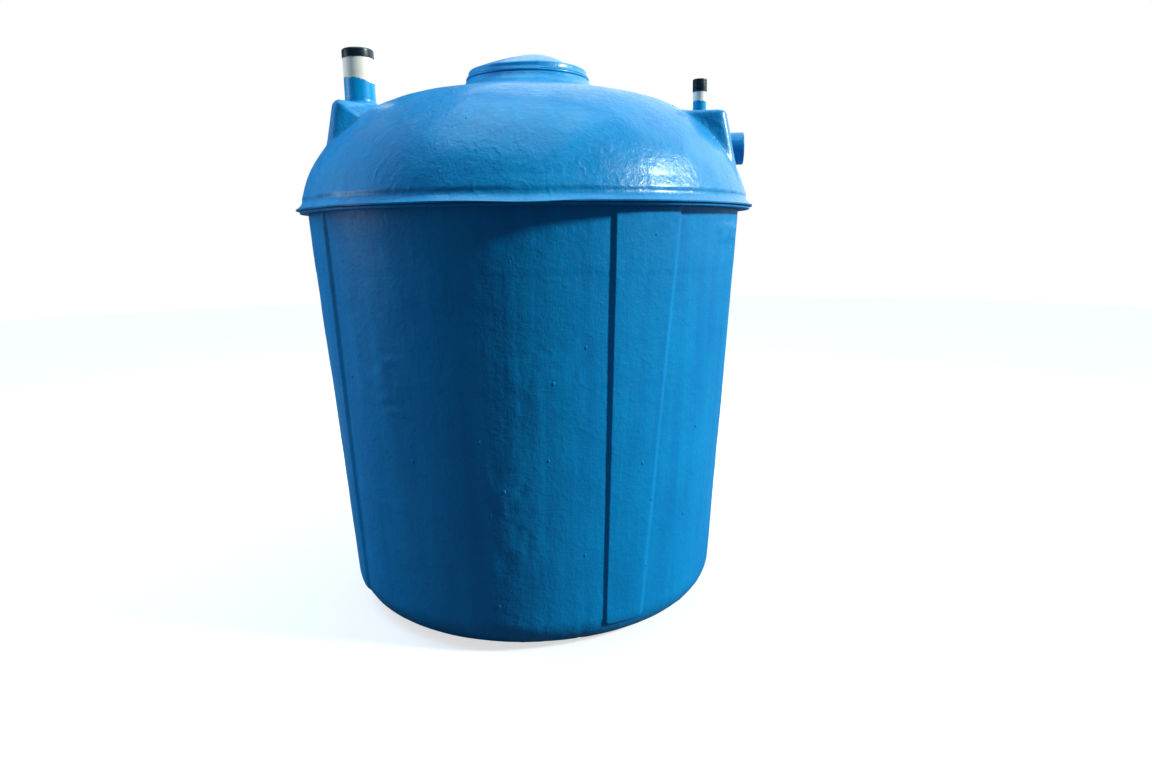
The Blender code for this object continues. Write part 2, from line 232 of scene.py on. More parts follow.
def newGroup(name, kind, inputs, outputs):
    tree = bpy.data.node_groups.new(name, kind)
    for label, socketType, value in inputs:
        socket = tree.interface.new_socket(label, in_out="INPUT", socket_type=socketType)
        if value is not None:
            socket.default_value = value
    for label, socketType in outputs:
        tree.interface.new_socket(label, in_out="OUTPUT", socket_type=socketType)
    return tree, tree.nodes.new("NodeGroupInput").outputs, tree.nodes.new("NodeGroupOutput").inputs


def applyShapeTree(piece, tree, settings):
    modifier = piece.modifiers.new(tree.name, "NODES")
    modifier.node_group = tree
    for item in tree.interface.items_tree:
        if item.item_type == "SOCKET" and item.in_out == "INPUT" and item.name in settings:
            modifier[item.identifier] = settings[item.name]
    graph = bpy.context.evaluated_depsgraph_get()
    made = bpy.data.meshes.new_from_object(piece.evaluated_get(graph), depsgraph=graph)
    piece.modifiers.clear()
    piece.data = made
    made.name = piece.name
    return piece


# Mesh helpers

def polar(radius, azimuth, height):
    return (radius * sin(radians(azimuth)), -radius * cos(radians(azimuth)), height)


def addPiece(name, points, faces, material, smoothAngle=35):
    mesh = bpy.data.meshes.new(name)
    mesh.from_pydata([tuple(p) for p in points], [], faces)
    mesh.validate()
    mesh.shade_smooth()
    mesh.set_sharp_from_angle(angle=radians(smoothAngle))
    piece = bpy.data.objects.new(name, mesh)
    bpy.context.scene.collection.objects.link(piece)
    mesh.materials.append(material)
    return piece


def loftFaces(columns, rows, closedRows):
    # quads of a grid whose columns run round and close, with the rows bottom to top on the outside
    faces = []
    for j in range(rows if closedRows else rows - 1):
        for i in range(columns):
            a = j * columns + i
            b = j * columns + (i + 1) % columns
            up = (j + 1) % rows * columns
            faces.append((a, b, up + (i + 1) % columns, up + i))
    return faces


def addTurned(name, profile, azimuths, material, centre=(0, 0), smoothAngle=35, bend=None):
    # a profile of (radius, height) with the outside upwards; a radius of 0 becomes one pole point
    # bend, where given, turns an azimuth and a height into the azimuth that the column has there
    columns = len(azimuths)
    points = []
    rings = []
    for r, z in profile:
        if r < 1e-7:
            rings.append([len(points)] * columns)
            points.append((centre[0], centre[1], z))
            continue
        rings.append(list(range(len(points), len(points) + columns)))
        for a in azimuths:
            x, y, _ = polar(r, bend(a, z) if bend else a, z)
            points.append((centre[0] + x, centre[1] + y, z))
    faces = []
    for k in range(len(profile)):
        low = rings[k]
        high = rings[(k + 1) % len(profile)]
        for i in range(columns):
            j = (i + 1) % columns
            face = tuple(dict.fromkeys((low[i], low[j], high[j], high[i])))
            if len(face) > 2:
                faces.append(face)
    return addPiece(name, points, faces, material, smoothAngle)


def arc(centre, radius, start, end, steps):
    # points of (radius, height) on an arc between two turns in degrees, 0 outwards and 90 upwards
    turns = [radians(start + (end - start) * k / steps) for k in range(steps + 1)]
    return [(centre[0] + radius * cos(t), centre[1] + radius * sin(t)) for t in turns]


def straight(start, end, steps):
    # points from start to end, without the first one
    return [(start[0] + (end[0] - start[0]) * k / steps, start[1] + (end[1] - start[1]) * k / steps)
            for k in range(1, steps + 1)]


def spacedAzimuths(base, fine, zones):
    # azimuths round the tank, a fine step apart inside the zones and a base step elsewhere
    found = []
    azimuth = -180.0
    while azimuth < 180.0 - 1e-6:
        found.append(azimuth)
        inside = any(low <= azimuth < high for low, high in zones)
        azimuth += fine if inside else base
    return found


def evenAzimuths(count):
    return [360.0 * k / count for k in range(count)]


# Materials

paints = {
    "pvcBare": (0.84, 0.68, 0.57),
    "pvcGrime": (0.42, 0.40, 0.36),
    "pipeDeep": (0.000, 0.200, 0.440),
    "pipeLight": (0.000, 0.290, 0.560),
    "capBlack": (0.004, 0.010, 0.018),
    "capWorn": (0.022, 0.034, 0.046),
    # pale blue-grey of the painted sky sheen on faces that look up
    "paintedSheenTone": (0.40, 0.46, 0.50),
}
paintLooks = {
    "bodyPaint": dict(deep=(0.000, 0.165, 0.435), light=(0.000, 0.220, 0.520), seed=1.0, roughness=0.44,
                      specular=0.17, coat=0.06, coatRoughness=0.24, relief=0.0024, folds=0.4),
    "domePaint": dict(deep=(0.000, 0.180, 0.450), light=(0.000, 0.235, 0.530), seed=2.0, roughness=0.37,
                      specular=0.34, coat=0.28, coatRoughness=0.16, relief=0.0026, folds=0.7),
}


def makeLaminateGroup():
    # chopped strand mat under paint: crossed fibres, folds of the mat, brush streaks and orange peel
    tree, given, result = newGroup("laminateGrain", "ShaderNodeTree", [
        ("Place", "NodeSocketVector", None),
        ("Fibre Scale", "NodeSocketFloat", 85.0),
        ("Streak Scale", "NodeSocketFloat", 16.0),
        ("Folds", "NodeSocketFloat", 0.5),
        ("Seed", "NodeSocketFloat", 0.0),
    ], [("Height", "NodeSocketFloat"), ("Mottle", "NodeSocketFloat"), ("Gloss", "NodeSocketFloat")])
    place = given["Place"]
    fibres = None
    for index, stretch in enumerate(((1.0, 1.0, 0.16), (0.25, 1.0, 1.0), (1.0, 0.22, 1.0), (0.6, 0.6, 1.0))):
        turned = tree.nodes.new("ShaderNodeMapping")
        turned.inputs["Rotation"].default_value = (0.3 * index, 0.5 * index, 0.4 * index)
        turned.inputs["Scale"].default_value = stretch
        tree.links.new(place, turned.inputs["Vector"])
        strand = noiseValue(tree, turned.outputs[0], given["Fibre Scale"], 2.0, 0.55, float(index) * 3.7)
        ridge = calc(tree, "ABSOLUTE", calc(tree, "SUBTRACT", strand, 0.5))
        fibres = ridge if fibres is None else calc(tree, "ADD", fibres, ridge)
    folds = None
    for index, scale in enumerate((13.0, 27.0)):
        swell = noiseValue(tree, place, scale, 2.5, 0.55, 9.1 + 3.0 * index)
        crest = calc(tree, "ABSOLUTE", calc(tree, "SUBTRACT", swell, 0.5))
        line = ramp(tree, crest, 0.0, 0.09, 1.0 / (1 + index), 0.0)
        folds = line if folds is None else calc(tree, "ADD", folds, line)
    streakPlace = tree.nodes.new("ShaderNodeMapping")
    streakPlace.inputs["Scale"].default_value = (1.0, 1.0, 0.08)
    tree.links.new(place, streakPlace.inputs["Vector"])
    streaks = noiseValue(tree, streakPlace.outputs[0], given["Streak Scale"], 4.0, 0.6, given["Seed"])
    peel = noiseValue(tree, place, 260.0, 2.0, 0.5, 1.3)
    soft = noiseValue(tree, place, 4.0, 3.0, 0.5, given["Seed"])
    height = calc(tree, "ADD", calc(tree, "MULTIPLY", fibres, -0.40), calc(tree, "MULTIPLY", streaks, 0.9))
    height = calc(tree, "ADD", height, calc(tree, "MULTIPLY", folds, calc(tree, "MULTIPLY", given["Folds"], 0.42)))
    height = calc(tree, "ADD", height, calc(tree, "MULTIPLY", peel, 0.14))
    plug(tree, height, result["Height"])
    mottle = calc(tree, "ADD", calc(tree, "MULTIPLY", soft, 0.4), calc(tree, "MULTIPLY", streaks, 0.6))
    plug(tree, ramp(tree, mottle, 0.30, 0.70), result["Mottle"])
    plug(tree, ramp(tree, fibres, 0.05, 0.45), result["Gloss"])
    return tree


def makePaintedSheenGroup():
    # painted sky sheen: a paler blue-grey in patches on faces that look up
    tree, given, result = newGroup("settledDust", "ShaderNodeTree", [
        ("Place", "NodeSocketVector", None),
        ("Amount", "NodeSocketFloat", 0.2),
    ], [("Mask", "NodeSocketFloat")])
    facing = tree.nodes.new("ShaderNodeNewGeometry")
    split = tree.nodes.new("ShaderNodeSeparateXYZ")
    tree.links.new(facing.outputs["Normal"], split.inputs[0])
    upward = ramp(tree, split.outputs["Z"], 0.35, 1.0)
    patches = noiseValue(tree, given["Place"], 9.0, 5.0, 0.6, 4.1)
    mask = calc(tree, "MULTIPLY", upward, ramp(tree, patches, 0.42, 0.72))
    plug(tree, calc(tree, "MULTIPLY", mask, given["Amount"]), result["Mask"])
    return tree


def useGroup(tree, group, settings):
    node = tree.nodes.new("ShaderNodeGroup")
    node.node_tree = group
    for name, value in settings.items():
        plug(tree, value, node.inputs[name])
    return node.outputs


def mixColour(tree, factor, first, second):
    node = tree.nodes.new("ShaderNodeMix")
    node.data_type = "RGBA"
    plug(tree, factor, node.inputs["Factor"])
    for value, socket in ((first, node.inputs[6]), (second, node.inputs[7])):
        plug(tree, (*value, 1) if isinstance(value, tuple) else value, socket)
    return node.outputs[2]


def startMaterial(name):
    material = bpy.data.materials.new(name)
    material.use_nodes = True
    tree = material.node_tree
    shader = tree.nodes["Principled BSDF"]
    place = tree.nodes.new("ShaderNodeTexCoord").outputs["Object"]
    return material, tree, shader, place


def addBump(tree, shader, height, strength, distance):
    bump = tree.nodes.new("ShaderNodeBump")
    bump.inputs["Strength"].default_value = strength
    bump.inputs["Distance"].default_value = distance
    plug(tree, height, bump.inputs["Height"])
    tree.links.new(bump.outputs[0], shader.inputs["Normal"])


def makePaint(name, grain, sheenGroup):
    look = paintLooks[name]
    material, tree, shader, place = startMaterial(name)
    laminate = useGroup(tree, grain, {"Place": place, "Seed": look["seed"], "Folds": look["folds"]})
    skySheen = useGroup(tree, sheenGroup, {"Place": place, "Amount": 0.14})
    colour = mixColour(tree, laminate["Mottle"], look["deep"], look["light"])
    # painted sky sheen: faces that look up are mixed towards a pale blue-grey
    colour = mixColour(tree, skySheen["Mask"], colour, paints["paintedSheenTone"])
    tree.links.new(colour, shader.inputs["Base Color"])
    rough = look["roughness"]
    tree.links.new(ramp(tree, laminate["Gloss"], 0.0, 1.0, rough - 0.06, rough + 0.08), shader.inputs["Roughness"])
    shader.inputs["Specular IOR Level"].default_value = look["specular"]
    shader.inputs["Coat Weight"].default_value = look["coat"]
    shader.inputs["Coat Roughness"].default_value = look["coatRoughness"]
    addBump(tree, shader, laminate["Height"], 0.8, look["relief"])
    return material


def makePipePaint(name, edge, depth, tilt, middle, grain):
    # bare plastic pipe with a ragged edge of brushed-on paint, lower on the right by the tilt
    material, tree, shader, place = startMaterial(name)
    split = tree.nodes.new("ShaderNodeSeparateXYZ")
    tree.links.new(place, split.inputs[0])
    ragged = noiseValue(tree, place, 26.0, 4.0, 0.65, 7.7)
    height = calc(tree, "SUBTRACT", split.outputs["Z"], edge)
    aside = calc(tree, "SUBTRACT", split.outputs["X"], middle)
    height = calc(tree, "ADD", height, ramp(tree, aside, 0.0, 0.04, 0.0, tilt))
    height = calc(tree, "ADD", height, calc(tree, "MULTIPLY", calc(tree, "SUBTRACT", ragged, 0.5), depth * 4))
    bare = ramp(tree, height, -0.0015, 0.0015)
    laminate = useGroup(tree, grain, {"Place": place, "Seed": 2.0, "Streak Scale": 30.0})
    paint = mixColour(tree, laminate["Mottle"], paints["pipeDeep"], paints["pipeLight"])
    grime = ramp(tree, noiseValue(tree, place, 34.0, 5.0, 0.6, 3.0), 0.5, 0.8, 0.0, 0.4)
    plastic = mixColour(tree, grime, paints["pvcBare"], paints["pvcGrime"])
    tree.links.new(mixColour(tree, bare, paint, plastic), shader.inputs["Base Color"])
    tree.links.new(ramp(tree, bare, 0.0, 1.0, 0.27, 0.42), shader.inputs["Roughness"])
    lift = calc(tree, "ADD", calc(tree, "MULTIPLY", laminate["Height"], 0.35), calc(tree, "MULTIPLY", bare, -0.5))
    addBump(tree, shader, lift, 0.5, 0.0015)
    return material


def makeCapPlastic(name):
    material, tree, shader, place = startMaterial(name)
    scuff = ramp(tree, noiseValue(tree, place, 48.0, 5.0, 0.7, 5.0), 0.48, 0.75)
    tree.links.new(mixColour(tree, scuff, paints["capBlack"], paints["capWorn"]), shader.inputs["Base Color"])
    tree.links.new(ramp(tree, scuff, 0.0, 1.0, 0.28, 0.5), shader.inputs["Roughness"])
    addBump(tree, shader, noiseValue(tree, place, 160.0, 2.0, 0.5, 2.0), 0.25, 0.0006)
    return material


laminateGrain = makeLaminateGroup()
# the painted sky sheen that the paints mix in on faces that look up
settledDust = makePaintedSheenGroup()
bodyPaint = makePaint("bodyPaint", laminateGrain, settledDust)
domePaint = makePaint("domePaint", laminateGrain, settledDust)
capPlastic = makeCapPlastic("capPlastic")
print("stage: materials made")


# Body: a turned shell with four raised ribs

body = {
    "topRadius": 0.751,
    "footRadius": 0.660,
    "knuckle": 0.114,
    "wall": 0.008,
    "ribRise": 0.0100,
    "ribFootShare": 0.72,      # share of the rise left at the foot
    "ribFlank": 0.013,
    "ribRightFlank": 0.024,
    "ribLeft": 18.5,
    "ribRightTop": 36.2,
    "ribRightFoot": 30.0,
    "ribFoot": 0.074,
    "ribCorner": 0.022,
    "ribSettle": 52.0,         # beyond here, within a quarter, the grid's columns are upright again
    "leftRibTurn": 1.8,
    "waves": 0.0060,
    "seams": {-48.0: 0.0016, -4.4: 0.0012, 0.5: 0.0020, 2.6: -0.0008, 12.0: -0.0018, 51.0: 0.0008, 62.0: 0.0012,
              104.0: 0.0018, 151.0: 0.0016, 164.0: -0.0014, -112.0: 0.0018, -133.0: -0.0012, -160.0: 0.0016},
    "seamWidth": 0.008,
    "matEdges": (0.976, 0.926, 0.857, 0.44, 1.19),
    "matEdgeRise": 0.0009,
}
foldPatches = {
    "front": dict(azimuth=-6.0, height=0.46, halfWidth=0.11, halfHeight=0.26, rise=0.0026, scale=(30.0, 30.0, 8.0)),
    "middle": dict(azimuth=4.0, height=0.95, halfWidth=0.16, halfHeight=0.24, rise=0.0016, scale=(24.0, 24.0, 9.0)),
    "right": dict(azimuth=62.0, height=1.295, halfWidth=0.18, halfHeight=0.035, rise=0.0036, scale=(6.0, 6.0, 45.0)),
    "left": dict(azimuth=-38.0, height=0.86, halfWidth=0.07, halfHeight=0.16, rise=0.0030, scale=(9.0, 9.0, 16.0)),
    "back": dict(azimuth=160.0, height=0.70, halfWidth=0.16, halfHeight=0.20, rise=0.0040, scale=(8.0, 8.0, 20.0)),
}


def followRibs(azimuth, height):
    # keeps a column of the grid at the same place of a rib from foot to head
    local = (azimuth + (body["leftRibTurn"] if -90 < azimuth < -30 else 0)) % 90
    left, top, settle = body["ribLeft"], body["ribRightTop"], body["ribSettle"]
    share = min(1, max(0, (height - body["ribFoot"]) / (rimHeight - body["ribFoot"])))
    right = body["ribRightFoot"] + (top - body["ribRightFoot"]) * share
    if left < local <= top:
        return azimuth + left + (local - left) * (right - left) / (top - left) - local
    if top < local < settle:
        return azimuth + settle - (settle - local) * (settle - right) / (settle - top) - local
    return azimuth


def foldedPatch(tree, place, azimuth, height, perDegree, patch):
    # wavy folds in the mat that fade out round the patch
    across = calc(tree, "MULTIPLY", calc(tree, "SUBTRACT", azimuth, patch["azimuth"]), perDegree)
    across = ramp(tree, calc(tree, "ABSOLUTE", across), patch["halfWidth"] * 0.4, patch["halfWidth"], 1.0, 0.0)
    upright = calc(tree, "ABSOLUTE", calc(tree, "SUBTRACT", height, patch["height"]))
    upright = ramp(tree, upright, patch["halfHeight"] * 0.4, patch["halfHeight"], 1.0, 0.0)
    stretched = tree.nodes.new("ShaderNodeVectorMath")
    stretched.operation = "MULTIPLY"
    stretched.inputs[1].default_value = patch["scale"]
    tree.links.new(place, stretched.inputs[0])
    swell = noiseValue(tree, stretched.outputs[0], 1.0, 2.0, 0.5, patch["azimuth"])
    crest = calc(tree, "ABSOLUTE", calc(tree, "SUBTRACT", swell, 0.5))
    fold = ramp(tree, crest, 0.0, 0.16, patch["rise"], 0.0)
    return calc(tree, "MULTIPLY", fold, calc(tree, "MULTIPLY", across, upright))


def makeRibTree():
    # raises the ribs from a turned shell, with seams and the waves of hand-laid laminate
    tree, given, result = newGroup("raisedRibs", "GeometryNodeTree", [
        ("Shell", "NodeSocketGeometry", None),
        ("Rib Rise", "NodeSocketFloat", 0.013),
        ("Rib Foot Share", "NodeSocketFloat", 0.6),
        ("Rib Flank", "NodeSocketFloat", 0.01),
        ("Rib Right Flank", "NodeSocketFloat", 0.02),
        ("Rib Left", "NodeSocketFloat", 18.5),
        ("Rib Right Top", "NodeSocketFloat", 36.2),
        ("Rib Right Foot", "NodeSocketFloat", 30.0),
        ("Rib Foot", "NodeSocketFloat", 0.07),
        ("Rib Corner", "NodeSocketFloat", 0.03),
        ("Left Rib Turn", "NodeSocketFloat", 1.0),
        ("Head", "NodeSocketFloat", 1.37),
        ("Waves", "NodeSocketFloat", 0.003),
        ("Seam Width", "NodeSocketFloat", 0.008),
        ("Seed", "NodeSocketFloat", 3.0),
        ("Paint", "NodeSocketMaterial", None),
    ], [("Geometry", "NodeSocketGeometry")])
    place = tree.nodes.new("GeometryNodeInputPosition").outputs[0]
    split = tree.nodes.new("ShaderNodeSeparateXYZ")
    tree.links.new(place, split.inputs[0])
    x, y, z = split.outputs[0], split.outputs[1], split.outputs[2]
    radius = calc(tree, "SQRT", calc(tree, "ADD", calc(tree, "MULTIPLY", x, x), calc(tree, "MULTIPLY", y, y)))
    azimuth = calc(tree, "MULTIPLY", calc(tree, "ARCTAN2", x, calc(tree, "MULTIPLY", y, -1.0)), 180 / pi)
    perDegree = calc(tree, "MULTIPLY", radius, pi / 180)
    share = calc(tree, "DIVIDE", calc(tree, "SUBTRACT", z, given["Rib Foot"]),
                 calc(tree, "SUBTRACT", given["Head"], given["Rib Foot"]))
    onLeft = calc(tree, "MULTIPLY", calc(tree, "LESS_THAN", azimuth, -30.0), calc(tree, "GREATER_THAN", azimuth, -90.0))
    shifted = calc(tree, "ADD", azimuth, calc(tree, "MULTIPLY", onLeft, given["Left Rib Turn"]))
    local = calc(tree, "FLOORED_MODULO", shifted, 90.0)
    right = ramp(tree, share, 0.0, 1.0, given["Rib Right Foot"], given["Rib Right Top"], smooth=False)
    fromLeft = calc(tree, "MULTIPLY", calc(tree, "SUBTRACT", local, given["Rib Left"]), perDegree)
    fromRight = calc(tree, "MULTIPLY", calc(tree, "SUBTRACT", right, local), perDegree)
    fromRight = calc(tree, "MULTIPLY", fromRight, calc(tree, "DIVIDE", given["Rib Flank"], given["Rib Right Flank"]))
    fromFoot = calc(tree, "SUBTRACT", z, given["Rib Foot"])
    inside = calc(tree, "SMOOTH_MIN", fromLeft, fromRight, given["Rib Corner"])
    inside = calc(tree, "SMOOTH_MIN", inside, fromFoot, given["Rib Corner"])
    half = calc(tree, "MULTIPLY", given["Rib Flank"], 0.5)
    rise = ramp(tree, inside, calc(tree, "MULTIPLY", half, -1.0), half)
    rise = calc(tree, "MULTIPLY", rise, given["Rib Rise"])
    rise = calc(tree, "MULTIPLY", rise, ramp(tree, share, 0.0, 0.9, given["Rib Foot Share"], 1.0))
    for level in body["matEdges"]:
        wander = calc(tree, "MULTIPLY", calc(tree, "SUBTRACT", noiseValue(tree, place, 2.1, 3.0, 0.5, level), 0.5), 0.05)
        off = calc(tree, "SUBTRACT", calc(tree, "ADD", z, wander), level)
        step = calc(tree, "MULTIPLY", ramp(tree, off, -0.003, 0.003), ramp(tree, off, 0.004, 0.12, 1.0, 0.0))
        partly = ramp(tree, noiseValue(tree, place, 1.7, 1.0, 0.5, level + 5.0), 0.42, 0.60)
        step = calc(tree, "MULTIPLY", calc(tree, "MULTIPLY", step, partly), body["matEdgeRise"])
        rise = calc(tree, "ADD", rise, step)
    for patch in foldPatches.values():
        rise = calc(tree, "ADD", rise, foldedPatch(tree, place, azimuth, z, perDegree, patch))
    for centre, height in body["seams"].items():
        wander = calc(tree, "MULTIPLY", calc(tree, "SUBTRACT", noiseValue(tree, place, 1.6, 2.0, 0.5, centre), 0.5), 2.5)
        off = calc(tree, "SUBTRACT", calc(tree, "ADD", azimuth, wander), centre)
        off = calc(tree, "ABSOLUTE", calc(tree, "MULTIPLY", off, perDegree))
        ridge = ramp(tree, off, 0.0, given["Seam Width"], height, 0.0)
        rise = calc(tree, "ADD", rise, ridge)
    wide = calc(tree, "SUBTRACT", noiseValue(tree, place, 2.6, 2.0, 0.5, given["Seed"]), 0.5)
    rise = calc(tree, "ADD", rise, calc(tree, "MULTIPLY", wide, given["Waves"]))
    close = calc(tree, "SUBTRACT", noiseValue(tree, place, 11.0, 3.0, 0.55, given["Seed"]), 0.5)
    rise = calc(tree, "ADD", rise, calc(tree, "MULTIPLY", close, calc(tree, "MULTIPLY", given["Waves"], 0.5)))
    skin = tree.nodes.new("GeometryNodeInputNamedAttribute")
    skin.data_type = "FLOAT"
    skin.inputs["Name"].default_value = "skin"
    rise = calc(tree, "MULTIPLY", rise, skin.outputs[0])
    outward = tree.nodes.new("GeometryNodeInputNormal").outputs[0]
    offset = vectorCalc(tree, "SCALE", outward, rise)
    move = tree.nodes.new("GeometryNodeSetPosition")
    tree.links.new(given["Shell"], move.inputs["Geometry"])
    tree.links.new(offset, move.inputs["Offset"])
    real = tree.nodes.new("GeometryNodeRealizeInstances")
    tree.links.new(move.outputs[0], real.inputs[0])
    coat = tree.nodes.new("GeometryNodeSetMaterial")
    tree.links.new(real.outputs[0], coat.inputs["Geometry"])
    tree.links.new(given["Paint"], coat.inputs["Material"])
    tree.links.new(coat.outputs[0], result["Geometry"])
    return tree


def bodyProfile(head):
    # from the middle of the underside out and up to the head, then down the inside
    foot = body["footRadius"]
    lean = atan2(body["topRadius"] - foot, rimHeight)
    knuckle = body["knuckle"]
    centre = foot + knuckle * (sin(lean) - 1) / cos(lean)
    leanDegrees = lean * 180 / pi
    outer = [(0.0, 0.0)] + straight((0, 0), (centre, 0), 6)
    outer += arc((centre, knuckle), knuckle, -90, -leanDegrees, 40)[1:]
    heel = outer[-1]
    top = (foot + tan(lean) * head, head)
    outer += straight(heel, top, 130)
    wall = body["wall"]
    inner = [(top[0] - wall, head)] + straight((top[0] - wall, head), (heel[0] - wall, heel[1]), 8)
    inner += arc((centre, knuckle), knuckle - wall, -leanDegrees, -90, 8)[1:]
    inner += [(0.0, wall)]
    return outer, inner


def makeBody():
    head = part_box("body_flange_1")[0].z - 0.0003
    outer, inner = bodyProfile(head)
    edges = []
    for turn in (0, 90, -180, -90 - body["leftRibTurn"]):
        edges += [turn + body["ribLeft"], turn + body["ribRightTop"]]
    azimuths = spacedAzimuths(1.15, 0.15, [(edge - 1.4, edge + 1.4) for edge in edges])
    piece = addTurned("tankBody", outer + inner, azimuths, bodyPaint, bend=followRibs)
    skin = piece.data.attributes.new("skin", "FLOAT", "POINT")
    columns = len(azimuths)
    shown = [0.0] + [1.0] * (columns * (len(outer) - 1))
    shown += [0.0] * (len(piece.data.vertices) - len(shown))
    base = columns * 6 + 1
    for k in range(base):
        shown[k] = 0.0
    for row in range(10):
        for i in range(columns):
            shown[base + row * columns + i] = row / 10
    skin.data.foreach_set("value", shown)
    applyShapeTree(piece, makeRibTree(), {
        "Rib Rise": body["ribRise"],
        "Rib Foot Share": body["ribFootShare"],
        "Rib Flank": body["ribFlank"],
        "Rib Right Flank": body["ribRightFlank"],
        "Rib Left": body["ribLeft"],
        "Rib Right Top": body["ribRightTop"],
        "Rib Right Foot": body["ribRightFoot"],
        "Rib Foot": body["ribFoot"],
        "Rib Corner": body["ribCorner"],
        "Left Rib Turn": body["leftRibTurn"],
        "Head": head,
        "Waves": body["waves"],
        "Seam Width": body["seamWidth"],
        "Seed": 3.0,
        "Paint": bodyPaint,
    })
    piece.data.attributes.remove(piece.data.attributes["skin"])
    piece.data.set_sharp_from_angle(angle=radians(40))
    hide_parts("base_plate", *numbered("base_knuckle"), *numbered("wall_panel"), *numbered("wall_rib"))
    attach(piece, "root")
    print("stage: body", len(piece.data.polygons), "faces")


# Flange of the body, just under the dome's lip

flange = {"edge": 0.0025, "waves": 0.0022}


def makeFlange():
    low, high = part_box("body_flange_1")
    radius = high.x
    inside = 0.742
    round_ = flange["edge"]
    profile = [(inside, low.z), (radius - round_, low.z)]
    profile += arc((radius - round_, low.z + round_), round_, -90, 0, 4)[1:]
    profile += arc((radius - round_, high.z - round_), round_, 0, 90, 4)
    profile += [(inside, high.z)]
    piece = addTurned("tankFlange", profile, evenAzimuths(288), bodyPaint)
    for vertex in piece.data.vertices:
        reach = Vector((vertex.co.x, vertex.co.y))
        if reach.length > radius - 0.01:
            wave = noise.noise(Vector((vertex.co.x * 5, vertex.co.y * 5, 9.1)))
            vertex.co.x *= 1 - flange["waves"] * (1 + wave) / radius
            vertex.co.y *= 1 - flange["waves"] * (1 + wave) / radius
    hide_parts(*numbered("body_flange"))
    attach(piece, "root")


# Dome with its lip and the two boxes, as one laminated skin

dome = {
    "footRadius": 0.7774,
    "lipHeight": 0.034,
    "lipFlare": 2.1,
    "shoulder": 0.447,
    "start": 13.7,
    "end": 76.0,
    "hole": 0.202,
    "wall": 0.008,
    "waves": 0.0036,
    "lipWaves": 0.0055,
    "droop": dict(azimuth=-1.0, width=9.0, depth=0.007),
}
boxes = {
    "inlet": dict(azimuth=-80.0, top=0.342, reach=0.651, half=0.222, corner=0.042, round=0.020, fillet=0.006,
                  bevel=0.60),
    "outlet": dict(azimuth=80.0, top=0.306, reach=0.695, half=0.202, corner=0.030, round=0.013, fillet=0.005,
                   bevel=0.0),
}
boxDraft = 10.0
boxSideDraft = 6.0
boxInner = 0.40    # hidden inside the dome


def domeArcs():
    start = radians(dome["start"])
    end = radians(dome["end"])
    centre = (dome["footRadius"] - dome["shoulder"] * cos(start), dome["lipHeight"] - dome["shoulder"] * sin(start))
    joint = centre[0] + dome["shoulder"] * cos(end)
    crown = joint / cos(end)
    return centre, crown, (0.0, centre[1] + (dome["shoulder"] - crown) * sin(end))


def domeHeight(radius):
    centre, crown, crownCentre = domeArcs()
    if radius < centre[0] + dome["shoulder"] * cos(radians(dome["end"])):
        return crownCentre[1] + sqrt(crown ** 2 - radius ** 2)
    return centre[1] + sqrt(dome["shoulder"] ** 2 - (radius - centre[0]) ** 2)


def smoothMin(a, b, blend):
    h = np.maximum(blend - np.abs(a - b), 0) / blend
    return np.minimum(a, b) - h * h * blend / 4


def domeDistance(points):
    centre, crown, crownCentre = domeArcs()
    r = np.hypot(points[:, 0], points[:, 1])
    z = points[:, 2]
    onShoulder = np.hypot(r - centre[0], z - centre[1]) - dome["shoulder"]
    onCrown = np.hypot(r, z - crownCentre[1]) - crown
    turn = np.arctan2(z - centre[1], r - centre[0])
    return np.where((turn > radians(dome["end"])), onCrown, onShoulder)


def boxDistance(points, box):
    turn = radians(box["azimuth"])
    along = points[:, 0] * sin(turn) - points[:, 1] * cos(turn)
    across = points[:, 0] * cos(turn) + points[:, 1] * sin(turn)
    drop = box["top"] - points[:, 2]
    outer = (along - box["reach"] - drop * tan(radians(boxDraft))) * cos(radians(boxDraft))
    side = (np.abs(across) - box["half"] - drop * tan(radians(boxSideDraft))) * cos(radians(boxSideDraft))
    corner = box["corner"]
    a = np.maximum(outer + corner, 0)
    b = np.maximum(side + corner, 0)
    wall = np.minimum(np.maximum(outer, side) + corner, 0) + np.hypot(a, b) - corner
    top = -drop
    if box["bevel"]:
        # a sloping facet between top and side that widens towards the dome
        slope = (side + top) * 0.7071 + box["bevel"] * (box["reach"] - 0.01 - along)
        wall = np.maximum(wall, slope)
    edge = box["round"]
    a = np.maximum(wall + edge, 0)
    b = np.maximum(top + edge, 0)
    rounded = np.minimum(np.maximum(wall, top) + edge, 0) + np.hypot(a, b) - edge
    return np.maximum(rounded, boxInner - along)


def skinDistance(points):
    distance = domeDistance(points)
    for box in boxes.values():
        distance = smoothMin(distance, boxDistance(points, box), box["fillet"] * 2)
    return distance


def pushOut(points):
    # slides each point of the plain dome outwards, away from the rim's centre, to the boxes' skin
    length = np.linalg.norm(points, axis=1, keepdims=True)
    ways = points / length
    low = length[:, 0] - 0.002
    high = low + 0.002
    reach = low.copy()
    steps = np.linspace(0.30, 0.0, 76)
    found = np.zeros(len(points), bool)
    outside = length[:, 0] + steps[0]
    for step in steps[1:]:
        trial = length[:, 0] + step
        hit = (skinDistance(ways * trial[:, None]) < 0) & ~found
        low[hit] = trial[hit]
        high[hit] = outside[hit]
        found |= hit
        outside = np.where(found, outside, trial)
    for _ in range(22):
        middle = (low + high) / 2
        within = skinDistance(ways * middle[:, None]) < 0
        low = np.where(within, middle, low)
        high = np.where(within, high, middle)
    reach = np.where(found, (low + high) / 2, length[:, 0])
    return ways * np.maximum(reach, length[:, 0])[:, None]


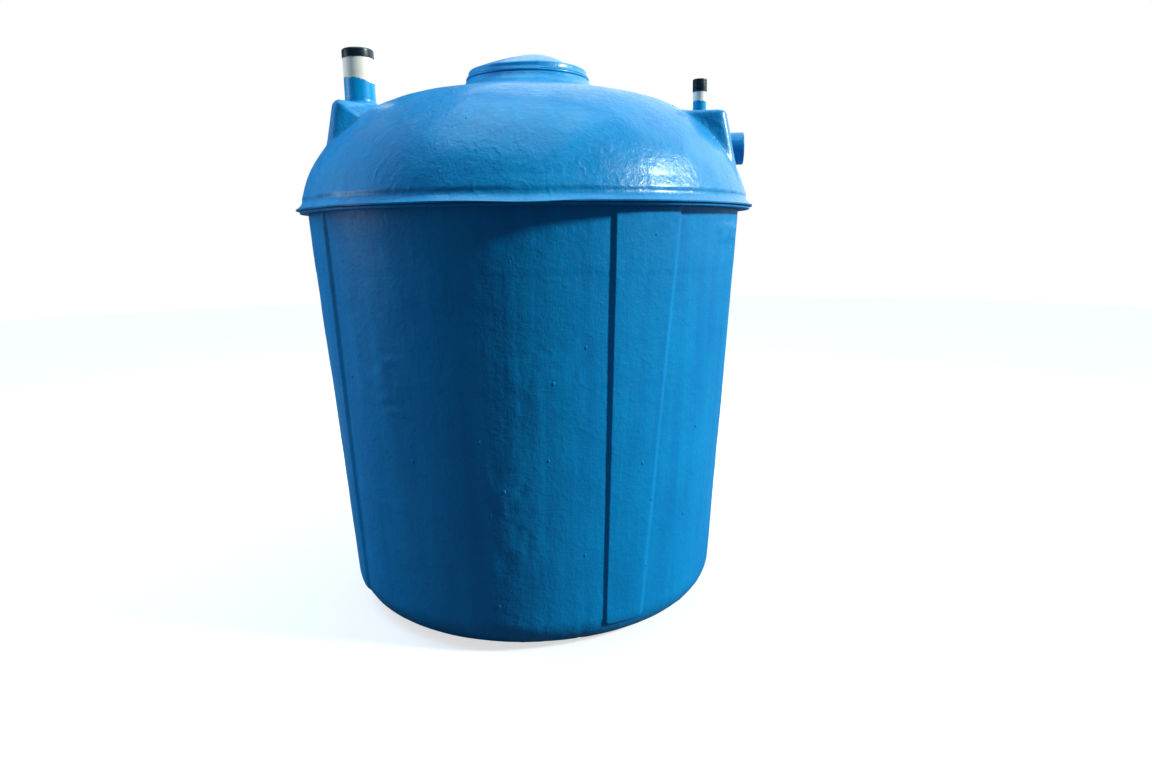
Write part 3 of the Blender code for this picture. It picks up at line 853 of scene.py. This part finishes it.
def domeRows():
    # profile rows of (radius, height above the rim): the lip's seat and edge, the flare, then the dome
    start = (0.750, 0.0)
    edge = rimRadius
    rows = [start, (edge - 0.006, 0.0), (edge - 0.0022, 0.0009), (edge - 0.0005, 0.0026), (edge, 0.0046)]
    for k in range(1, 13):
        share = k / 12
        rows.append((dome["footRadius"] + (edge - dome["footRadius"]) * (1 - share) ** dome["lipFlare"],
                     0.0046 + (dome["lipHeight"] - 0.0046) * share))
    centre, crown, crownCentre = domeArcs()
    lipRows = len(rows)
    rows += arc(centre, dome["shoulder"], dome["start"], dome["end"], 84)[1:]
    startTurn = np.degrees(np.arccos(rows[-1][0] / crown))
    endTurn = np.degrees(np.arccos(dome["hole"] / crown))
    rows += arc(crownCentre, crown, startTurn, endTurn, 34)[1:]
    return rows, lipRows


def makeDome():
    rows, lipRows = domeRows()
    zones = [(-112, -48), (48, 112)]
    azimuths = spacedAzimuths(1.5, 0.5, zones)
    columns = len(azimuths)
    grid = np.array([polar(r, a, z) for r, z in rows for a in azimuths])
    upper = grid[lipRows * columns:]
    upper = pushOut(upper)
    grid[lipRows * columns:] = upper
    grid = waveDome(grid, columns, lipRows)
    picks = list(range(len(rows) - 1, lipRows, -9)) + [lipRows]
    inner = []
    for row in picks:
        ring = grid[row * columns:(row + 1) * columns]
        length = np.linalg.norm(ring, axis=1, keepdims=True)
        inner.append(ring * (1 - dome["wall"] / length))
    points = np.vstack([grid] + inner)
    points[:, 2] += rimHeight
    faces = loftFaces(columns, len(rows) + len(picks), True)
    piece = addPiece("tankDome", points, faces, domePaint, 50)
    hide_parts(*numbered("rim_lip"), *numbered("dome_shell"), "inlet_box", "outlet_box")
    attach(piece, "root")
    print("stage: dome", len(piece.data.polygons), "faces")


def waveDome(grid, columns, lipRows):
    # hand-laid waves along the skin, and a lip that isn't quite true; never outside the plain form at the edge
    waved = grid.copy()
    for index, point in enumerate(grid):
        row = index // columns
        p = Vector(point)
        away = Vector((p.x, p.y, 0)).normalized()
        if row < lipRows:
            wave = noise.noise(Vector((away.x * 3.3, away.y * 3.3, 2.2)))
            fine = noise.noise(Vector((away.x * 13, away.y * 13, 5.2)))
            inward = dome["lipWaves"] * (0.5 + 0.5 * wave + 0.35 * fine)
            share = min(1, max(0, (row - 1) / 2))
            droop = dome["droop"]
            turn = atan2(p.x, -p.y) * 180 / pi - droop["azimuth"]
            low = droop["depth"] * exp(-(turn / droop["width"]) ** 2) * share * (1 - row / lipRows)
            waved[index] = p - away * max(inward, 0) * share - Vector((0, 0, low))
        else:
            wide = noise.noise(p * 4.2)
            close = noise.noise(p * 13.0 + Vector((3, 1, 7)))
            fade = min(1, (row - lipRows) / 6)
            waved[index] = p - p.normalized() * dome["waves"] * (0.6 + wide + 0.4 * close) * fade
    return waved


# Manhole: a flared collar laminated to the dome, and a sealed crowned lid

manhole = {
    "footRadius": 0.280,
    "neckRadius": 0.229,
    "topRadius": 0.216,
    "hole": 0.202,
    "aside": 0.010,            # the whole manhole sits this far to the right of the axis
    "beadRound": 0.005,        # rolled edge at the collar's top
    "apexRound": 0.040,
    "shoulderRound": 0.010,
    "apexAside": 0.030,        # the lid's crown sits this far to the right of the middle
    "patchEdge": 0.078,        # and its mat ends in a step this far to the right
    "patchDepth": 0.009,
    "creaseAzimuth": 9.0,
    "creaseRise": 0.0022,
}


def makeCollar():
    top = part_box("manhole_collar_1")[1].z
    foot = rimHeight + domeHeight(manhole["footRadius"])
    profile = [(manhole["hole"], rimHeight + domeHeight(manhole["hole"])), (manhole["footRadius"], foot - 0.003)]
    for k in range(1, 25):
        share = k / 24
        flare = (1 - share) ** 3 * (manhole["footRadius"] - manhole["neckRadius"])
        lean = (manhole["neckRadius"] - manhole["topRadius"]) * (1 - share)
        profile.append((manhole["topRadius"] + lean + flare, foot - 0.001 + (top - foot - 0.003) * share))
    bead = manhole["beadRound"]
    profile = [point for point in profile if point[1] < top - 2.4 * bead or point[0] < manhole["hole"] + 1e-6]
    profile += arc((manhole["topRadius"] - 0.6 * bead, top - bead), bead, -70, 90, 10)
    profile.append((manhole["hole"], top))
    piece = addTurned("manholeCollar", profile, evenAzimuths(192), domePaint)
    roughen(piece, 0.0016, 9.0, 4.4)
    addCrease(piece)
    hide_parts(*numbered("manhole_collar"))
    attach(piece, "root")


def makeLid():
    low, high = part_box("manhole_lid")
    radius = high.x
    base = low.z
    edge = manhole["shoulderRound"]
    bend = base + 0.0145
    profile = [(0.0, high.z - 0.012), (radius - 0.02, base + 0.013), (radius - 0.012, base)]
    profile += [(radius + 0.0055, base), (radius + 0.0040, base + 0.0016), (radius + 0.0014, base + 0.0050)]
    profile += [(radius - 0.0004, base + 0.0100)]
    profile += arc((radius - 0.001 - edge, bend), edge, 0, 66, 8)
    start = profile[-1]
    crownFrom = len(profile) - 1
    blunt = manhole["apexRound"]
    slope = sqrt(start[0] ** 2 + blunt ** 2) - blunt
    for k in range(1, 31):
        reach = start[0] * (1 - k / 30)
        fall = (sqrt(reach ** 2 + blunt ** 2) - blunt) / slope
        profile.append((reach, start[1] + (high.z - start[1]) * (1 - fall) * (1 + 0.08 * fall)))
    piece = addTurned("manholeLid", profile, evenAzimuths(192), domePaint)
    crownStart = profile[crownFrom][1]
    for vertex in piece.data.vertices:
        share = max(0, (vertex.co.z - crownStart) / (high.z - crownStart))
        if share and vertex.index > 192:
            vertex.co.x += manhole["apexAside"] * share ** 1.5
            past = vertex.co.x + 0.25 * vertex.co.y - manhole["patchEdge"]
            step = min(1, max(0, past / 0.010)) * min(1, share * 6)
            vertex.co.z -= manhole["patchDepth"] * step
    roughen(piece, 0.0026, 6.0, 1.4)
    addCrease(piece)
    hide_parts("manhole_lid")
    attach(piece, "root")


def addCrease(piece):
    # the lap of the mat that closes the ring of laminate round the manhole
    ways = [vertex.normal.copy() for vertex in piece.data.vertices]
    for vertex, way in zip(piece.data.vertices, ways):
        reach = Vector((vertex.co.x, vertex.co.y, 0)).length
        off = atan2(vertex.co.x, -vertex.co.y) - radians(manhole["creaseAzimuth"])
        ridge = max(0, 1 - abs(off) * reach / 0.007)
        if reach > manhole["hole"]:
            vertex.co += way * manhole["creaseRise"] * ridge
        vertex.co.x += manhole["aside"]


def roughen(piece, size, scale, seed):
    # pushes points inwards only, so that the piece stays inside its plain form
    ways = [vertex.normal.copy() for vertex in piece.data.vertices]
    for vertex, way in zip(piece.data.vertices, ways):
        wave = noise.noise(vertex.co * scale + Vector((seed, seed, seed)))
        vertex.co -= way * size * max(0.05, 0.5 + wave)


# Pipes on the boxes

pipes = {
    "riser": dict(edge=1.818, ragged=0.008, tilt=0.013, sides=96),
    "vent": dict(edge=1.742, ragged=0.005, tilt=0.004, sides=64),
}


def pipeCentre(node):
    low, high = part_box(node)
    return ((low.x + high.x) / 2, (low.y + high.y) / 2), (high.x - low.x) / 2, low.z, high.z


def makePipe(name):
    settings = pipes[name]
    centre, radius, foot, top = pipeCentre(f"{name}_pipe")
    paint = makePipePaint(f"{name}Pipe", settings["edge"], settings["ragged"], settings["tilt"], centre[0],
                          laminateGrain)
    bore = radius - 0.004 if radius > 0.04 else radius - 0.0025
    sides = evenAzimuths(settings["sides"])
    outer = [(bore, foot), (radius, foot)] + straight((radius, foot), (radius, top), 24) + [(bore, top)]
    piece = addTurned(f"{name}Pipe", outer, sides, paint, centre)
    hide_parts(f"{name}_pipe")
    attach(piece, "root")
    centre, ringRadius, ringFoot, ringTop = pipeCentre(f"{name}_base_ring")
    flare = 0.35 * radius
    profile = [(radius + 0.0003, ringFoot - 0.002), (radius + flare, ringFoot - 0.002)]
    for k in range(1, 13):
        share = k / 12
        profile.append((radius + 0.0006 + flare * (1 - share) ** 2.6, ringFoot + (ringTop - ringFoot) * 1.4 * share))
    profile.append((radius + 0.0003, profile[-1][1]))
    ring = addTurned(f"{name}Fillet", profile, sides, domePaint, centre)
    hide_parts(f"{name}_base_ring")
    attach(ring, "root")
    centre, capRadius, capFoot, capTop = pipeCentre(f"{name}_cap")
    edge = 0.14 * radius
    lid = capTop - 0.0035
    profile = [(radius + 0.0004, capFoot), (capRadius - 0.0006, capFoot), (capRadius, capFoot + 0.0008)]
    profile += arc((capRadius - edge, capTop - edge), edge, 0, 90, 8)
    profile += [(0.0, capTop), (0.0, lid), (radius + 0.0004, lid)]
    cap = addTurned(f"{name}Cap", profile, sides, capPlastic, centre)
    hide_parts(f"{name}_cap")
    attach(cap, "root")


# Outlet stub: a short open pipe that lies level on the right box

stub = {"radius": 0.054, "bore": 0.047, "height": 0.200, "start": 0.662, "end": 0.764, "round": 0.003, "sides": 96}


def makeStub():
    turn = radians(boxes["outlet"]["azimuth"])
    forward = Vector((sin(turn), -cos(turn), 0))
    sideways = Vector((cos(turn), sin(turn), 0))
    radius, bore, edge = stub["radius"], stub["bore"], stub["round"]
    start, end = stub["start"], stub["end"]
    profile = [(radius, start)] + straight((radius, start), (radius, end - edge), 16)
    profile += [(radius - edge * (1 - cos(radians(t))), end - edge * (1 - sin(radians(t)))) for t in (30, 60, 90)]
    profile += [(bore + 0.001, end), (bore, end - 0.001), (bore, start)]
    columns = stub["sides"]
    points = []
    for r, u in profile:
        for i in range(columns):
            t = 2 * pi * i / columns
            p = forward * u + sideways * (r * cos(t)) + Vector((0, 0, rimHeight + stub["height"] + r * sin(t)))
            points.append(p)
    piece = addPiece("outletStub", points, loftFaces(columns, len(profile), True), domePaint)
    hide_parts("outlet_stub")
    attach(piece, "root")


# Lumps of resin and glass that stayed under the paint

lumps = {
    "tankBody": dict(name="bodyLumps", density=16.0, least=0.0016, most=0.0050, seed=11, lowest=0.12),
    "tankDome": dict(name="domeLumps", density=24.0, least=0.0014, most=0.0040, seed=5, lowest=1.43),
}


def makeLumpTree():
    # scatters flattened drops over the outward faces of a piece
    tree, given, result = newGroup("resinLumps", "GeometryNodeTree", [
        ("Surface", "NodeSocketGeometry", None),
        ("Density", "NodeSocketFloat", 15.0),
        ("Least Size", "NodeSocketFloat", 0.002),
        ("Most Size", "NodeSocketFloat", 0.005),
        ("Lowest", "NodeSocketFloat", 0.1),
        ("Seed", "NodeSocketInt", 1),
        ("Paint", "NodeSocketMaterial", None),
    ], [("Geometry", "NodeSocketGeometry")])
    place = tree.nodes.new("GeometryNodeInputPosition").outputs[0]
    split = tree.nodes.new("ShaderNodeSeparateXYZ")
    tree.links.new(place, split.inputs[0])
    level = tree.nodes.new("ShaderNodeCombineXYZ")
    tree.links.new(split.outputs[0], level.inputs[0])
    tree.links.new(split.outputs[1], level.inputs[1])
    plug(tree, calc(tree, "MAXIMUM", calc(tree, "SUBTRACT", split.outputs[2], rimHeight), 0.0), level.inputs[2])
    facing = tree.nodes.new("ShaderNodeVectorMath")
    facing.operation = "DOT_PRODUCT"
    tree.links.new(level.outputs[0], facing.inputs[0])
    tree.links.new(tree.nodes.new("GeometryNodeInputNormal").outputs[0], facing.inputs[1])
    outside = calc(tree, "GREATER_THAN", facing.outputs["Value"], 0.2)
    above = calc(tree, "GREATER_THAN", split.outputs[2], given["Lowest"])
    scatter = tree.nodes.new("GeometryNodeDistributePointsOnFaces")
    tree.links.new(given["Surface"], scatter.inputs["Mesh"])
    tree.links.new(calc(tree, "MULTIPLY", outside, above), scatter.inputs["Selection"])
    tree.links.new(given["Density"], scatter.inputs["Density"])
    tree.links.new(given["Seed"], scatter.inputs["Seed"])
    drop = tree.nodes.new("GeometryNodeMeshIcoSphere")
    drop.inputs["Radius"].default_value = 1.0
    drop.inputs["Subdivisions"].default_value = 3
    flat = tree.nodes.new("GeometryNodeTransform")
    flat.inputs["Scale"].default_value = (1.0, 1.4, 0.38)
    tree.links.new(drop.outputs["Mesh"], flat.inputs["Geometry"])
    size = tree.nodes.new("FunctionNodeRandomValue")
    size.data_type = "FLOAT"
    sizeSockets = [socket for socket in size.inputs if socket.type == "VALUE" and socket.enabled]
    tree.links.new(given["Least Size"], sizeSockets[0])
    tree.links.new(given["Most Size"], sizeSockets[1])
    tree.links.new(given["Seed"], size.inputs["Seed"])
    copies = tree.nodes.new("GeometryNodeInstanceOnPoints")
    tree.links.new(scatter.outputs["Points"], copies.inputs["Points"])
    tree.links.new(flat.outputs[0], copies.inputs["Instance"])
    tree.links.new(scatter.outputs["Rotation"], copies.inputs["Rotation"])
    tree.links.new([socket for socket in size.outputs if socket.type == "VALUE"][0], copies.inputs["Scale"])
    real = tree.nodes.new("GeometryNodeRealizeInstances")
    tree.links.new(copies.outputs[0], real.inputs[0])
    coat = tree.nodes.new("GeometryNodeSetMaterial")
    tree.links.new(real.outputs[0], coat.inputs["Geometry"])
    tree.links.new(given["Paint"], coat.inputs["Material"])
    tree.links.new(coat.outputs[0], result["Geometry"])
    return tree


def makeLumps():
    tree = makeLumpTree()
    for host, settings in lumps.items():
        surface = bpy.data.objects[host]
        piece = bpy.data.objects.new(settings["name"], surface.data.copy())
        bpy.context.scene.collection.objects.link(piece)
        applyShapeTree(piece, tree, {
            "Density": settings["density"],
            "Least Size": settings["least"],
            "Most Size": settings["most"],
            "Lowest": settings["lowest"],
            "Seed": settings["seed"],
            "Paint": surface.data.materials[0],
        })
        piece.data.shade_smooth()
        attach(piece, "root")
        print("stage:", piece.name, len(piece.data.polygons), "faces")


makeCamera()
makeStudio()
makeBody()
makeFlange()
makeDome()
makeCollar()
makeLid()
for pipeName in pipes:
    makePipe(pipeName)
makeStub()
makeLumps()
print("stage: all pieces made")
